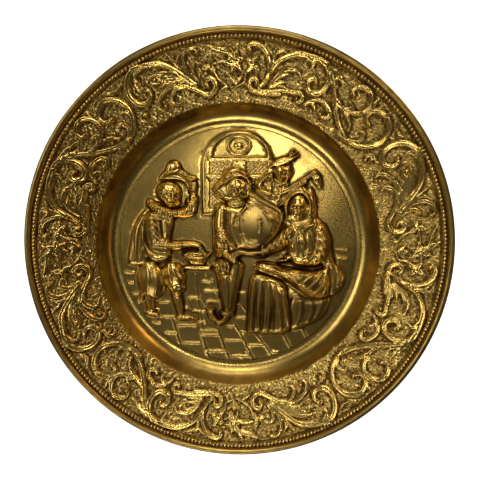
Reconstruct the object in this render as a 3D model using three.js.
// Embossed wall plate: one pressed brass sheet with a rolled edge, a scrolled rim and a raised
// tavern scene in its well, and the wire loop on its back that it hangs by.
// Millimetres, +X right, +Y away from the viewer, +Z up. The origin is where the loop bears on its nail.
import * as THREE from 'three';

// Driving dimensions of the sheet
const FLOOR_DIAMETER = 215.2;
const WALL_RUN = 16.6;
const WALL_DROP = 14.1;
const RIM_WIDTH = 53.8;
const RIM_DROP = 26.9;
const SHEET = 0.9;
const ROLL_DIAMETER = 4.8;
const BEAD_RING_INSET = 7.5;
const BEAD_RING_WIDTH = 2.6;
const BEAD_RING_HEIGHT = 1.3;
const BAND_MARGIN_OUTER = 9.2;
const RIM_RELIEF = 2.6;
const SCENE_RELIEF = 12;
const BACK_FOLLOWS_RIM = 0.35;
const BACK_FOLLOWS_SCENE = 0.85;

// Driving dimensions of the hanging loop
const WIRE_DIAMETER = 2.4;
const LOOP_WIDTH = 22;
const LOOP_HEIGHT = 15;
const LOOP_LIFT = 6;
const FOOT_LENGTH = 9;
const FOOT_INSET = 34;
const FIT_GAP = 0.3;

// Facets
const EDGE_STEPS = 80;
const ROLL_STEPS = 8;
const FRONT_POINTS = 3380;
const BACK_POINTS = 800;
const SAMPLE_STEP = 1.15;
const ANCHOR_STEP = 4.2;
const ANCHOR_GAP = 1.5;
const FOOT_REACH = 1.04;
const CROWN_REACH = 0.72;
const LARGE_OVAL = 14;
const PANEL_FOOT = 0.4;
const WIRE_SIDES = 8;
const WIRE_STEPS = 26;

const FLOOR_RADIUS = FLOOR_DIAMETER / 2;

// Places on the bare floor, clear of the figures, where the flat back of the well touches the wall
const REST_RADIUS = 5;
const REST_CORNERS = 6;
const BACK_RESTS = [
  [-0.465 * FLOOR_RADIUS, 0.79 * FLOOR_RADIUS],
  [0.68 * FLOOR_RADIUS, 0.66 * FLOOR_RADIUS],
];
const SHOULDER_RADIUS = FLOOR_RADIUS + WALL_RUN;
const PLATE_RADIUS = SHOULDER_RADIUS + RIM_WIDTH;
const ROLL_RADIUS = ROLL_DIAMETER / 2;
const ROLL_CENTRE = PLATE_RADIUS - ROLL_RADIUS;
const FIELD_RADIUS = PLATE_RADIUS - ROLL_DIAMETER;
const BEAD_RADIUS = PLATE_RADIUS - BEAD_RING_INSET;
const RAD = Math.PI / 180;

const clamp = (value, low, high) => Math.min(high, Math.max(low, value));
const smooth = (t) => t * t * (3 - 2 * t);
const dome = (off) => (1 - off * off) ** 0.7;

// Depth of the plain dish behind the outer edge plane: sloping rim, curved wall, flat floor
const rimSlope = RIM_DROP / RIM_WIDTH;
function dishDepth(radius) {
  if (radius >= SHOULDER_RADIUS) return (PLATE_RADIUS - radius) * rimSlope;
  const t = clamp((SHOULDER_RADIUS - radius) / WALL_RUN, 0, 1);
  const leave = rimSlope * WALL_RUN * t * (1 - t) * (1 - t);
  return RIM_DROP + WALL_DROP * smooth(t) + leave;
}

// A smooth line through a few points, as short straight steps
function throughPoints(points, stepsEach) {
  const corners = points.map(([x, z]) => new THREE.Vector3(x, 0, z));
  const curve = new THREE.CatmullRomCurve3(corners, false, 'centripetal');
  return curve.getPoints((points.length - 1) * stepsEach).map((p) => [p.x, p.z]);
}

function boxAround(xs, zs, margin = 0) {
  return [Math.min(...xs) - margin, Math.max(...xs) + margin, Math.min(...zs) - margin, Math.max(...zs) + margin];
}

// A raised stroke: a round-backed ridge along a line, tapering from one half-width to the other
function stroke(line, startHalf, endHalf, height) {
  const widest = Math.max(startHalf, endHalf);
  const xs = line.map((p) => p[0]);
  const zs = line.map((p) => p[1]);
  const box = boxAround(xs, zs, widest);
  const heightAt = (x, z) => {
    let best = 0;
    for (let i = 0; i + 1 < line.length; i += 1) {
      const [ax, az] = line[i];
      const dx = line[i + 1][0] - ax;
      const dz = line[i + 1][1] - az;
      const along = clamp(((x - ax) * dx + (z - az) * dz) / (dx * dx + dz * dz), 0, 1);
      const half = startHalf + ((endHalf - startHalf) * (i + along)) / (line.length - 1);
      const off = Math.hypot(x - ax - along * dx, z - az - along * dz) / half;
      if (off < 1) best = Math.max(best, height * dome(off));
    }
    return best;
  };
  return { box, heightAt, anchors: strokeAnchors(line, startHalf, endHalf) };
}

// Points that carry a ridge: along its crest, and along its foot on both sides
function strokeAnchors(line, startHalf, endHalf) {
  const anchors = [];
  let since = Infinity;
  line.forEach(([x, z], i) => {
    const [px, pz] = line[Math.max(i - 1, 0)];
    const [nx, nz] = line[Math.min(i + 1, line.length - 1)];
    since += Math.hypot(x - px, z - pz);
    const half = startHalf + ((endHalf - startHalf) * i) / (line.length - 1);
    if (since < Math.max(ANCHOR_STEP, 1.2 * half) && i + 1 < line.length) return;
    since = 0;
    const length = Math.hypot(nx - px, nz - pz);
    const off = (FOOT_REACH * half) / length;
    anchors.push({ x, z, crest: true });
    anchors.push({ x: x - (nz - pz) * off, z: z + (nx - px) * off });
    anchors.push({ x: x + (nz - pz) * off, z: z - (nx - px) * off });
  });
  return anchors;
}

// A raised oval, domed
function oval(cx, cz, rx, rz, height) {
  const heightAt = (x, z) => {
    const off = Math.hypot((x - cx) / rx, (z - cz) / rz);
    return off < 1 ? height * dome(off) : 0;
  };
  const anchors = [{ x: cx, z: cz, crest: true }];
  const large = rx + rz > LARGE_OVAL;
  const steps = large ? 10 : 6;
  for (let i = 0; i < steps; i += 1) {
    const turn = (2 * Math.PI * (i + 0.5)) / steps;
    const [dx, dz] = [rx * Math.cos(turn), rz * Math.sin(turn)];
    anchors.push({ x: cx + FOOT_REACH * dx, z: cz + FOOT_REACH * dz });
    if (large) anchors.push({ x: cx + CROWN_REACH * dx, z: cz + CROWN_REACH * dz, crest: true });
  }
  return { box: [cx - rx, cx + rx, cz - rz, cz + rz], heightAt, anchors };
}

// A limb: a run of [x, z, half-width] joints, each stretch tapering to the next
function limb(joints, height) {
  const stretches = joints.slice(1).map(([x, z, half], i) => {
    const [x0, z0, half0] = joints[i];
    return stroke([[x0, z0], [x, z]], half0, half, height);
  });
  const anchors = joints.slice(1).flatMap(([x, z, half], i) => {
    const [x0, z0, half0] = joints[i];
    return strokeAnchors([0, 0.5, 1].map((t) => [x0 + (x - x0) * t, z0 + (z - z0) * t]), half0, half);
  });
  const side = (index, pick) => pick(...stretches.map((s) => s.box[index]));
  return {
    box: [side(0, Math.min), side(1, Math.max), side(2, Math.min), side(3, Math.max)],
    heightAt: (x, z) => Math.max(...stretches.map((s) => s.heightAt(x, z))),
    anchors,
  };
}

// A raised flat panel with soft edges, its outline given by its corners
function panel(corners, height, edge) {
  const xs = corners.map((p) => p[0]);
  const zs = corners.map((p) => p[1]);
  const heightAt = (x, z) => {
    let inside = false;
    let nearest = Infinity;
    corners.forEach(([ax, az], i) => {
      const [bx, bz] = corners[(i + 1) % corners.length];
      if (az > z !== bz > z && x < ((bx - ax) * (z - az)) / (bz - az) + ax) inside = !inside;
      const [dx, dz] = [bx - ax, bz - az];
      const along = clamp(((x - ax) * dx + (z - az) * dz) / (dx * dx + dz * dz), 0, 1);
      nearest = Math.min(nearest, Math.hypot(x - ax - along * dx, z - az - along * dz));
    });
    return inside ? height * Math.sqrt(1 - (1 - clamp(nearest / edge, 0, 1)) ** 2) : 0;
  };
  const middleX = xs.reduce((sum, value) => sum + value, 0) / xs.length;
  const middleZ = zs.reduce((sum, value) => sum + value, 0) / zs.length;
  const inset = (x, z, by) => {
    const reach = Math.hypot(x - middleX, z - middleZ);
    return { x: x + ((middleX - x) * by) / reach, z: z + ((middleZ - z) * by) / reach, crest: by > 0 };
  };
  const anchors = corners.flatMap(([x, z], i) => {
    const [nx, nz] = corners[(i + 1) % corners.length];
    const places = [[x, z], [(x + nx) / 2, (z + nz) / 2]];
    return places.flatMap((place) => [inset(...place, edge), inset(...place, -PANEL_FOOT)]);
  });
  return { box: boxAround(xs, zs), heightAt, anchors };
}

function highest(forms, x, z) {
  let best = 0;
  for (const { box, heightAt } of forms) {
    if (x > box[0] && x < box[1] && z > box[2] && z < box[3]) best = Math.max(best, heightAt(x, z));
  }
  return best;
}

// Rim ornament. It is drawn as [degrees clockwise from the top of its quarter, radius] on a band
// that runs from DRAWN_INNER to DRAWN_OUTER, and laid on the real band wherever that lies.
const DRAWN_INNER = 124.2;
const DRAWN_OUTER = 168.8;
const bandStretch = (PLATE_RADIUS - BAND_MARGIN_OUTER - SHOULDER_RADIUS) / (DRAWN_OUTER - DRAWN_INNER);
function onBand([degrees, drawn]) {
  const radius = SHOULDER_RADIUS + (drawn - DRAWN_INNER) * bandStretch;
  return [radius * Math.sin(degrees * RAD), radius * Math.cos(degrees * RAD)];
}

const STEM = 2.5 * bandStretch;
const LEAF = 2.1 * bandStretch;
const TIP = 1.1 * bandStretch;

// A volute: turns about its eye from one clock direction to another while it closes in
function volute([eyeDegrees, eyeRadius], [fromClock, fromReach], [toClock, toReach]) {
  const steps = Math.ceil(Math.abs(toClock - fromClock) / 30);
  return Array.from({ length: steps + 1 }, (_, i) => {
    const reach = fromReach * (toReach / fromReach) ** (i / steps);
    const clock = (fromClock + ((toClock - fromClock) * i) / steps) * RAD;
    const radius = eyeRadius + reach * Math.cos(clock);
    return [eyeDegrees + (reach * Math.sin(clock)) / (radius * RAD), radius];
  });
}

function scroll(points, start = STEM, end = TIP) {
  return stroke(throughPoints(points.map(onBand), 3), start, end, RIM_RELIEF);
}
const leaf = (...points) => scroll(points, LEAF, TIP);
const bud = (degrees, radius, size) => oval(...onBand([degrees, radius]), size, size, RIM_RELIEF);

const quarterOrnament = [
  // long stem that swings over the first large volute
  scroll([[-13, 141], [-16, 149], [-19, 157.5], [-22, 163], ...volute([-30, 150], [19, 18], [-340, 3])]),
  // volute beside the flower, left
  scroll([[-16, 143], [-13.5, 139], ...volute([-8.7, 139.5], [-120, 8.5], [-450, 3])]),
  // stem that crosses from the quarter before into the outer volute
  scroll([
    [-44, 131.3], [-39.5, 136], [-36.8, 146], [-37.8, 156.5], [-41.5, 162.5], [-45.2, 159], [-45.5, 152], [-43, 148.7],
  ]),
  // volute beside the flower, right
  scroll([[14, 134], [10, 132.7], ...volute([6.7, 139.2], [165, 5.8], [450, 2.6])]),
  // main stem over the second large volute
  scroll([
    [8.5, 136.5], [10, 141], [11.3, 148], [13, 156], [15.5, 161.5], [19, 165.2],
    ...volute([25.2, 150.5], [0, 15.2], [380, 3]),
  ]),
  // lower curl under it
  scroll([[10, 134.5], [14, 136], [18, 138.5], ...volute([22.6, 136.2], [-47, 5], [230, 2])]),
  // upper curl beside the flower
  scroll([[10.5, 146], [10.8, 152], [9.7, 159], [7.5, 165], [4.6, 165.8], [3.8, 162.5], [4.6, 160.2]]),
  // long stem that swings down into the next quarter
  scroll([[27, 164], [31, 155], [34, 146], [36.5, 140.5], [40, 135], [46, 131.2]]),
  // tall volute on it
  scroll([
    [34, 148.5], [38, 146], [42, 150.5], [43, 157], [41.5, 164.5], [39.3, 166.8], [36.6, 163], [36.3, 157.5], [38, 156.5],
  ]),
  // low volute on it
  scroll([[25.5, 134], [27.5, 139.5], [30.5, 142.3], [34.2, 139], [35, 134.5], [32.8, 131.8], [31.7, 134]]),
  // leaves of the fan
  leaf([-13.5, 143], [-16, 153], [-15.5, 164]),
  leaf([-12.5, 142], [-13.2, 152], [-10.3, 155.5]),
  leaf([-14, 161], [-12, 166], [-10.4, 162]),
  leaf([-15, 143], [-20, 150.5], [-26, 152.5], [-25.2, 156]),
  leaf([-17, 149], [-22, 156], [-26.5, 158.5]),
  leaf([-15, 142.5], [-21, 145.3], [-26, 141.5], [-28.2, 135.5], [-26, 131.8], [-25.6, 135]),
  leaf([-15.5, 140.5], [-19.5, 142.7], [-22.7, 137], [-20.5, 131.8]),
  leaf([-26, 165.3], [-29.3, 163], [-29.5, 157.5]),
  leaf([-39, 136], [-37.7, 143], [-39.6, 149]),
  leaf([-44, 132.5], [-41.2, 138], [-42.5, 144], [-44.2, 141]),
  leaf([-32, 139.3], [-35.3, 137], [-33.8, 132]),
  leaf([-39, 164.5], [-36.5, 162], [-34, 163.5]),
  leaf([19, 163.5], [23, 162], [22.3, 157]),
  leaf([12, 139.5], [14.5, 149], [18.5, 153.6], [21, 151.5]),
  leaf([12, 138], [14.5, 142.5], [18, 144.6]),
  leaf([26, 165], [31.5, 163.5]),
  leaf([28.5, 161.5], [31, 161.8], [34, 160.5]),
  leaf([39.3, 148.5], [39.6, 151], [37.8, 153]),
  leaf([35, 146.5], [41, 143], [43.5, 136]),
  leaf([44, 158], [43.8, 166]),
  leaf([11.5, 156], [11.5, 160], [8.5, 166]),
  leaf([11.5, 160], [14.5, 165]),
  // flower at the middle of the quarter, on its own stem
  bud(0, 154, 5.6),
  bud(-7.6, 152, 5),
  bud(5.8, 152.6, 5.2),
  bud(0.3, 141, 4.2),
  leaf([0, 158], [-2, 164.5], [-7.6, 166]),
  leaf([-6.5, 147], [-4, 140], [0, 135.5], [3.2, 140], [4.6, 150]),
  leaf([-5.5, 132.5], [-2.5, 137]),
];

function rimRelief(x, z) {
  const radius = Math.hypot(x, z);
  const turn = Math.atan2(x, z) / RAD;
  const nearestQuarter = Math.round(turn / 90);
  let best = 0;
  for (const quarter of [nearestQuarter - 1, nearestQuarter, nearestQuarter + 1]) {
    const local = (turn - quarter * 90) * RAD;
    if (Math.abs(local) < 52 * RAD) {
      best = Math.max(best, highest(quarterOrnament, radius * Math.sin(local), radius * Math.cos(local)));
    }
  }
  const bead = 1 - ((radius - BEAD_RADIUS) / (BEAD_RING_WIDTH / 2)) ** 2;
  return Math.max(best, bead > 0 ? BEAD_RING_HEIGHT * Math.sqrt(bead) : 0);
}

// Tavern scene, drawn in millimetres on a floor of DRAWN_FLOOR radius. Heights are shares of SCENE_RELIEF.
const DRAWN_FLOOR = 107.6;
const sceneStretch = FLOOR_RADIUS / DRAWN_FLOOR;
const share = (part) => part * SCENE_RELIEF;

const windowCentre = 1.5;
const windowHalf = 32.3;
const windowSpring = 73;
const windowSill = 28.8;
const STEP_HALF = 0.8;
const lunette = { x: 2.5, z: 81.5, half: 25, rise: 20.5 };
const panes = [
  [-24.2, -3.1, 65.4, 76.5],
  [8.7, 27.7, 65.4, 76.5],
  [-24.2, -3.1, 35, 62],
  [8.7, 27.7, 35, 62],
];
function windowRelief(x, z) {
  const rise = z - windowSpring;
  const across = Math.abs(x - windowCentre);
  const inFrame = rise > 0 ? Math.hypot(across, rise) < windowHalf : z > windowSill && across < windowHalf;
  if (!inFrame) return 0;
  const medallion = Math.hypot((x - lunette.x) / 9.7, (z - 91) / 7.6);
  if (medallion < 1) return medallion > 0.84 || medallion < 0.45 ? share(0.24) : share(0.1);
  const inLunette = z > lunette.z && Math.hypot((x - lunette.x) / lunette.half, (z - lunette.z) / lunette.rise) < 1;
  const inPane = panes.some(([x0, x1, z0, z1]) => x > x0 && x < x1 && z > z0 && z < z1);
  return inLunette || inPane ? share(0.08) : share(0.22);
}

// Points either side of the window's outline and round its lunette and panes
function windowAnchors() {
  const anchors = [];
  for (const off of [-STEP_HALF, STEP_HALF]) {
    for (let i = 0; i <= 18; i += 1) {
      const turn = (Math.PI * i) / 18;
      const reach = windowHalf + off;
      anchors.push([windowCentre + reach * Math.cos(turn), windowSpring + reach * Math.sin(turn)]);
    }
    for (const side of [-1, 1]) {
      const edge = windowCentre + side * (windowHalf + off);
      anchors.push([edge, windowSill - off], [edge, (windowSill + windowSpring) / 2]);
    }
    for (let i = 0; i <= 12; i += 1) {
      const turn = (Math.PI * i) / 12;
      const [half, rise] = [lunette.half + off, lunette.rise + off];
      anchors.push([lunette.x + half * Math.cos(turn), lunette.z - off + rise * Math.sin(turn)]);
    }
    for (const [x0, x1, z0, z1] of panes) {
      anchors.push([x0 - off, z0 - off], [x1 + off, z0 - off], [x1 + off, z1 + off], [x0 - off, z1 + off]);
    }
  }
  return anchors;
}

const leftMan = [
  limb([[-86, 26, 6], [-92, 8, 8], [-95, -8, 8]], share(0.3)),
  oval(-53, 50, 18, 19, share(0.42)),
  limb([[-57, 72, 6], [-55, 64, 10]], share(0.55)),
  oval(-61.5, 48, 11.8, 12.5, share(1.05)),
  limb([[-77, 40, 4], [-66, 33.5, 5], [-55, 31, 4.5]], share(0.85)),
  limb([[-56, 31, 5], [-44, 32.5, 7], [-40, 44, 5], [-39, 58, 4.5]], share(0.8)),
  limb([[-71, 20, 14], [-70, 0, 13]], share(0.85)),
  limb([[-77, 19, 8], [-75, -5, 9.5]], share(1.05)),
  limb([[-72, -3, 8], [-50, 0, 5.5], [-32, -1, 4]], share(1)),
  oval(-36, -6.5, 13, 4.6, share(0.95)),
  panel([[-49, -17], [-24, -17], [-24, -21.5], [-49, -21.5]], share(0.55), 1.5),
  panel([[-44, -10], [-30, -10], [-32, -17], [-42, -17]], share(0.5), 2),
  oval(-80, -31, 13.5, 17, share(0.8)),
  oval(-60, -28, 13, 13.5, share(0.85)),
  limb([[-62, -16, 4], [-56, -29, 8]], share(0.95)),
  limb([[-79, -42, 6.5], [-80, -61, 4.5]], share(0.55)),
  limb([[-56, -38, 7], [-52, -64, 4]], share(0.7)),
  limb([[-52, -66, 3.4], [-39, -67.5, 2.2]], share(0.6)),
  limb([[-82, -63, 3.2], [-73, -64.5, 2.6]], share(0.45)),
];

const seatedMan = [
  oval(-3.5, 56, 18, 15.8, share(0.75)),
  oval(1, 53, 10, 10.5, share(1.05)),
  oval(20, 17.5, 23.5, 21.5, share(1.05)),
  limb([[-8, 28, 11], [-8, 0, 12]], share(0.75)),
  limb([[-14, 25, 7], [-13, 2, 8.5]], share(0.9)),
  limb([[-13, -2, 7], [-4, -10, 4.5]], share(0.95)),
  limb([[-13, -16, 7.5], [-10, -30, 7.5], [-8, -62, 5]], share(0.7)),
  limb([[0, -20, 8], [-3, -40, 6], [-5, -62, 4]], share(0.5)),
  limb([[-21, -59, 3.5], [-22, -69, 4]], share(0.6)),
  limb([[-10, -66, 3.6], [-1, -65, 2.6]], share(0.55)),
];

const woman = [
  limb([[66, 50, 6], [71, 28, 8], [82, 6, 7], [87, -14, 6]], share(0.5)),
  oval(57.5, 40.5, 15, 16.5, share(0.8)),
  oval(56, 35.5, 9.5, 12.5, share(1.1)),
  limb([[60, 17, 14], [62, -2, 13]], share(0.95)),
  limb([[47, 12, 8], [34, 0, 8], [25, -3, 5]], share(1)),
  limb([[24, -3, 4.4], [4, -5.5, 3.6]], share(0.9)),
  limb([[76, 14, 8], [76, -8, 9]], share(0.95)),
  limb([[72, -10, 6], [58, -9, 5], [41, -9.5, 3.4]], share(1)),
  panel([[19, -20], [30, -14], [60, -19], [83, -15], [88, -43], [68, -47], [45, -32]], share(0.95), 7),
  panel([[19, -24], [48, -34], [47, -79], [28, -82], [10, -80], [12, -40]], share(0.62), 6),
  limb([[88, -12, 6], [92, -34, 7]], share(0.5)),
  panel([[47, -45], [86, -45], [80, -62], [66, -72], [49, -75]], share(0.42), 5),
];

const musician = [
  oval(33, 49, 13, 13.5, share(0.5)),
  oval(44.5, 68, 5.5, 8, share(0.5)),
  oval(39.3, 67.5, 6.8, 8.6, share(0.75)),
  limb([[34, 75, 3.4], [52, 81, 2]], share(0.6)),
  limb([[28, 62, 4], [23, 55, 4], [35, 47, 4]], share(0.65)),
  limb([[38, 48.5, 2.4], [69, 64.5, 1.8]], share(0.62)),
  limb([[71, 61, 4], [75, 55.5, 2.6]], share(0.4)),
];

const figures = [...leftMan, ...musician, ...seatedMan, ...woman];

function sceneRelief(x, z) {
  const drawnX = x / sceneStretch;
  const drawnZ = z / sceneStretch;
  if (Math.hypot(drawnX, drawnZ) > DRAWN_FLOOR) return 0;
  return Math.max(windowRelief(drawnX, drawnZ), highest(figures, drawnX, drawnZ));
}

function frontDepth(x, z) {
  const radius = Math.hypot(x, z);
  const relief = radius > SHOULDER_RADIUS ? rimRelief(x, z) : sceneRelief(x, z);
  return dishDepth(radius) - relief;
}

// The back follows the dish one sheet thickness behind it, and its hollows are softer than the front
function backDepth(x, z) {
  const radius = Math.hypot(x, z);
  const rim = radius > SHOULDER_RADIUS;
  const relief = rim ? BACK_FOLLOWS_RIM * rimRelief(x, z) : BACK_FOLLOWS_SCENE * sceneRelief(x, z);
  return dishDepth(radius) + SHEET - relief;
}

// Triangles over a disc, seen from the front, that stay Delaunay as points are added one by one
class Disc {
  constructor(radius, steps) {
    this.points = [[0, 0]];
    for (let i = 0; i < steps; i += 1) {
      const turn = (2 * Math.PI * i) / steps;
      this.points.push([radius * Math.cos(turn), radius * Math.sin(turn)]);
    }
    this.corners = [];
    this.across = [];
    this.cells = new Map();
    for (let i = 0; i < steps; i += 1) {
      this.corners.push([0, i + 1, ((i + 1) % steps) + 1]);
      this.across.push([(i + steps - 1) % steps, -1, (i + 1) % steps]);
    }
    this.last = 0;
  }

  side(a, b, p) {
    const [ax, az] = this.points[a];
    const [bx, bz] = this.points[b];
    return (bx - ax) * (p[1] - az) - (bz - az) * (p[0] - ax);
  }

  holding(p) {
    let t = this.last;
    for (let moved = true; moved;) {
      moved = false;
      for (let i = 0; i < 3 && !moved; i += 1) {
        const next = this.across[t][i];
        if (next >= 0 && this.side(this.corners[t][i], this.corners[t][(i + 1) % 3], p) < 0) {
          t = next;
          moved = true;
        }
      }
    }
    this.last = t;
    return t;
  }

  relink(t, from, to) {
    if (t >= 0) this.across[t][this.across[t].indexOf(from)] = to;
  }

  add(p) {
    const t = this.holding(p);
    const v = this.points.push(p) - 1;
    const [a, b, c] = this.corners[t];
    const [ab, bc, ca] = this.across[t];
    const t1 = this.corners.length;
    const t2 = t1 + 1;
    this.corners[t] = [a, b, v];
    this.corners.push([b, c, v], [c, a, v]);
    this.across[t] = [ab, t1, t2];
    this.across.push([bc, t2, t], [ca, t, t1]);
    this.relink(bc, t, t1);
    this.relink(ca, t, t2);
    [t, t1, t2].forEach((one) => this.settle(one));
  }

  // Swaps the edge opposite a triangle's newest corner where the corner beyond it is too close
  settle(t) {
    const n = this.across[t][0];
    if (n < 0) return;
    const [a, b, v] = this.corners[t];
    const j = this.across[n].indexOf(t);
    const w = this.corners[n][(j + 2) % 3];
    if (!this.inCircle(a, b, v, w)) return;
    const beyondA = this.across[n][(j + 1) % 3];
    const beyondB = this.across[n][(j + 2) % 3];
    const [, besideB, besideA] = this.across[t];
    this.corners[t] = [a, w, v];
    this.across[t] = [beyondA, n, besideA];
    this.corners[n] = [w, b, v];
    this.across[n] = [beyondB, besideB, t];
    this.relink(beyondA, n, t);
    this.relink(besideB, t, n);
    this.settle(t);
    this.settle(n);
  }

  inCircle(a, b, c, d) {
    const [dx, dz] = this.points[d];
    const [ax, az, bx, bz, cx, cz] = [a, b, c].flatMap((i) => [this.points[i][0] - dx, this.points[i][1] - dz]);
    const a2 = ax * ax + az * az;
    const b2 = bx * bx + bz * bz;
    const c2 = cx * cx + cz * cz;
    return ax * (bz * c2 - b2 * cz) - az * (bx * c2 - b2 * cx) + a2 * (bx * cz - bz * cx) > 1e-6;
  }

  // Adds a point unless another is closer than the gap
  addSpaced(p, gap) {
    const cell = (value) => Math.floor(value / gap);
    const [ci, cj] = p.map(cell);
    for (let i = ci - 1; i <= ci + 1; i += 1) {
      for (let j = cj - 1; j <= cj + 1; j += 1) {
        const near = this.cells.get(`${i},${j}`) ?? [];
        if (near.some(([x, z]) => Math.hypot(x - p[0], z - p[1]) < gap)) return;
      }
    }
    const key = `${ci},${cj}`;
    this.cells.set(key, [...(this.cells.get(key) ?? []), p]);
    this.add(p);
  }

  addRing(radius, steps, shift) {
    for (let i = 0; i < steps; i += 1) {
      const turn = (2 * Math.PI * (i + shift)) / steps;
      this.add([radius * Math.cos(turn), radius * Math.sin(turn)]);
    }
  }
}

// Adds points where the flat facets miss the surface most, until the count is reached
function fitSurface(disc, depthAt, radius, count, weightAt) {
  const span = Math.ceil((2 * radius) / SAMPLE_STEP);
  const shiftX = 0.2371 - radius;
  const shiftZ = 0.3119 - radius;
  const grid = new Float64Array(span * span);
  for (let j = 0; j < span; j += 1) {
    const z = j * SAMPLE_STEP + shiftZ;
    for (let i = 0; i < span; i += 1) grid[j * span + i] = depthAt(i * SAMPLE_STEP + shiftX, z);
  }
  const worstIn = (corners) => {
    const [[ax, az], [bx, bz], [cx, cz]] = corners.map((i) => disc.points[i]);
    const [ay, by, cy] = corners.map((i) => depthAt(...disc.points[i]));
    const area = (bx - ax) * (cz - az) - (bz - az) * (cx - ax);
    const first = (value, shift) => Math.max(0, Math.ceil((value - shift) / SAMPLE_STEP));
    const last = (value, shift) => Math.min(span - 1, Math.floor((value - shift) / SAMPLE_STEP));
    let worst = { miss: 0 };
    for (let j = first(Math.min(az, bz, cz), shiftZ); j <= last(Math.max(az, bz, cz), shiftZ); j += 1) {
      for (let i = first(Math.min(ax, bx, cx), shiftX); i <= last(Math.max(ax, bx, cx), shiftX); i += 1) {
        const x = i * SAMPLE_STEP + shiftX;
        const z = j * SAMPLE_STEP + shiftZ;
        const wb = ((x - ax) * (cz - az) - (z - az) * (cx - ax)) / area;
        const wc = ((bx - ax) * (z - az) - (bz - az) * (x - ax)) / area;
        if (wb > 0.02 && wc > 0.02 && wb + wc < 0.98) {
          const flat = ay + (by - ay) * wb + (cy - ay) * wc;
          const miss = Math.abs(grid[j * span + i] - flat) * weightAt(x, z);
          if (miss > worst.miss) worst = { miss, point: [x, z] };
        }
      }
    }
    return worst;
  };
  while (disc.points.length < count) {
    const room = Math.min(count - disc.points.length, Math.ceil(disc.points.length * 0.35));
    const misses = disc.corners.map(worstIn).filter((one) => one.miss > 0.03);
    if (misses.length === 0) break;
    misses.sort((one, other) => other.miss - one.miss);
    misses.slice(0, room).forEach((one) => disc.add(one.point));
  }
}

// Anchors the facets to the carving: crests where a form is the highest, feet where the ground is bare
function addAnchors(disc, forms, reliefAt, place) {
  for (const wanted of [true, false]) {
    for (const form of forms) {
      for (const { x, z, crest = false } of form.anchors) {
        const relief = reliefAt(x, z);
        const shows = crest ? form.heightAt(x, z) > 0.97 * relief : relief < 0.35;
        if (crest === wanted && shows) place(x, z).forEach((p) => disc.addSpaced(p, ANCHOR_GAP));
      }
    }
  }
}

function inEachQuarter(x, z) {
  return [[x, z], [z, -x], [-x, -z], [-z, x]];
}

function onFloor(x, z) {
  const p = [x * sceneStretch, z * sceneStretch];
  return Math.hypot(...p) < FLOOR_RADIUS - ANCHOR_GAP ? [p] : [];
}

// The plate: front and back surfaces over a disc each, joined round the rolled edge
function plateGeometry() {
  const backEdge = ROLL_CENTRE - Math.sqrt(ROLL_RADIUS ** 2 - SHEET ** 2);
  const front = new Disc(FIELD_RADIUS, EDGE_STEPS);
  const back = new Disc(backEdge, EDGE_STEPS);
  const beadFoot = BEAD_RING_WIDTH / 2;
  [beadFoot, 0, -beadFoot].forEach((off, i) => front.addRing(BEAD_RADIUS + off, EDGE_STEPS, 0.5 * i + 0.013));
  [front, back].forEach((disc) => {
    disc.addRing(SHOULDER_RADIUS + 0.01, EDGE_STEPS, 0.31);
    disc.addRing(FLOOR_RADIUS + WALL_RUN / 2, EDGE_STEPS, 0.73);
    disc.addRing(FLOOR_RADIUS, EDGE_STEPS, 0.17);
  });
  addAnchors(front, quarterOrnament, rimRelief, inEachQuarter);
  addAnchors(front, figures, (x, z) => highest(figures, x, z), onFloor);
  windowAnchors().forEach(([x, z]) => {
    if (highest(figures, x, z) < 1) onFloor(x, z).forEach((p) => front.addSpaced(p, ANCHOR_GAP));
  });
  BACK_RESTS.forEach(([x, z]) => {
    for (let i = 0; i < REST_CORNERS; i += 1) {
      const turn = (2 * Math.PI * (i + 0.1)) / REST_CORNERS;
      back.add([x + REST_RADIUS * Math.cos(turn), z + REST_RADIUS * Math.sin(turn)]);
    }
  });
  const rimWeight = (x, z) => (Math.hypot(x, z) > SHOULDER_RADIUS ? 1.5 : 1);
  fitSurface(front, frontDepth, FIELD_RADIUS, FRONT_POINTS, rimWeight);
  fitSurface(back, backDepth, backEdge, BACK_POINTS, () => 1);

  const positions = [];
  front.points.forEach(([x, z]) => positions.push(x, frontDepth(x, z), z));
  back.points.forEach(([x, z]) => positions.push(x, backDepth(x, z), z));
  const offset = front.points.length;
  const faces = front.corners.flatMap(([a, b, c]) => [a, b, c]);
  back.corners.forEach(([a, b, c]) => faces.push(offset + a, offset + c, offset + b));

  // the roll: rings of points round its section, from the front surface's edge over to the back's
  const closing = Math.asin(SHEET / ROLL_RADIUS);
  const rings = [Array.from({ length: EDGE_STEPS }, (_, i) => 1 + i)];
  for (let k = 1; k < ROLL_STEPS; k += 1) {
    const half = 2 * (k / ROLL_STEPS) - 1;
    const section = half < 0 ? -Math.PI * half : (closing - Math.PI) * half;
    const radius = ROLL_CENTRE + ROLL_RADIUS * Math.cos(section);
    const depth = ROLL_RADIUS - ROLL_RADIUS * Math.sin(section);
    rings.push(Array.from({ length: EDGE_STEPS }, (_, i) => {
      const turn = (2 * Math.PI * i) / EDGE_STEPS;
      return positions.push(radius * Math.cos(turn), depth, radius * Math.sin(turn)) / 3 - 1;
    }));
  }
  rings.push(Array.from({ length: EDGE_STEPS }, (_, i) => offset + 1 + i));
  rings.slice(1).forEach((outer, k) => {
    const inner = rings[k];
    inner.forEach((a, i) => {
      const next = (i + 1) % EDGE_STEPS;
      faces.push(a, outer[i], outer[next], a, outer[next], inner[next]);
    });
  });
  const geometry = new THREE.BufferGeometry();
  geometry.setAttribute('position', new THREE.Float32BufferAttribute(positions, 3));
  geometry.setIndex(faces);
  return geometry;
}

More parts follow.
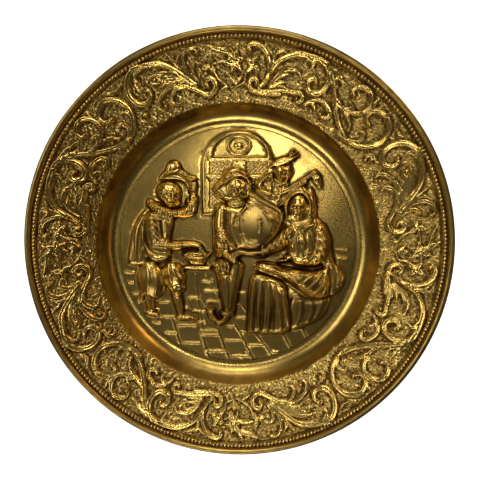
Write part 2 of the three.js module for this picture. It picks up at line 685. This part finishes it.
// The hanging loop lies on the back of the rim at the top: two soldered feet, then a bow that
// leans away from the rim so that a nail can pass. It is laid out along the rim's slope.
const slopeLength = Math.hypot(1, rimSlope);
const footRadius = PLATE_RADIUS - FOOT_INSET;
const loopHalf = LOOP_WIDTH / 2;
function offRimBack(across, up, off) {
  const radius = footRadius + (up + off * rimSlope) / slopeLength;
  const depth = dishDepth(footRadius) + SHEET + (off - up * rimSlope) / slopeLength;
  return new THREE.Vector3(across, depth, radius);
}

function loopPath() {
  const rest = WIRE_DIAMETER / 2 + FIT_GAP;
  const bowStart = FOOT_LENGTH + LOOP_HEIGHT - loopHalf;
  const lift = (up) => rest + LOOP_LIFT * smooth(clamp((up - FOOT_LENGTH) / LOOP_HEIGHT, 0, 1));
  const leg = [0, FOOT_LENGTH / 2, FOOT_LENGTH].map((up) => [loopHalf, up]);
  const bow = Array.from({ length: 7 }, (_, i) => {
    const turn = (Math.PI * i) / 6;
    return [loopHalf * Math.cos(turn), bowStart + loopHalf * Math.sin(turn)];
  });
  const otherLeg = leg.map(([across, up]) => [-across, up]).reverse();
  const points = [...leg, ...bow, ...otherLeg].map(([across, up]) => offRimBack(across, up, lift(up)));
  return new THREE.CatmullRomCurve3(points, false, 'centripetal');
}

function loopGeometry(path) {
  const section = new THREE.Shape();
  section.absarc(0, 0, WIRE_DIAMETER / 2, 0, 2 * Math.PI);
  return new THREE.ExtrudeGeometry(section, {
    steps: WIRE_STEPS,
    curveSegments: WIRE_SIDES / 2,
    extrudePath: path,
    bevelEnabled: false,
  });
}

// The nail bears under the top of the bow, so the origin is moved there
const loop = loopPath();
const bowTop = loop.getPoint(0.5);
const bearing = new THREE.Vector3(0, bowTop.y, bowTop.z - WIRE_DIAMETER / 2);

const brass = new THREE.MeshStandardMaterial({ color: 0xa9853f, roughness: 0.34, metalness: 1 });
const wireBrass = new THREE.MeshStandardMaterial({ color: 0x9c7b3c, roughness: 0.42, metalness: 1 });

const plateMesh = new THREE.Mesh(plateGeometry(), brass);
plateMesh.name = 'plate_sheet';
const loopMesh = new THREE.Mesh(loopGeometry(loop), wireBrass);
loopMesh.name = 'hanging_loop';

const wallPlate = new THREE.Group();
wallPlate.add(plateMesh, loopMesh);
wallPlate.position.copy(bearing).negate();
wallPlate.updateMatrixWorld(true);

const model = new THREE.Group();
model.add(wallPlate);
export default model;
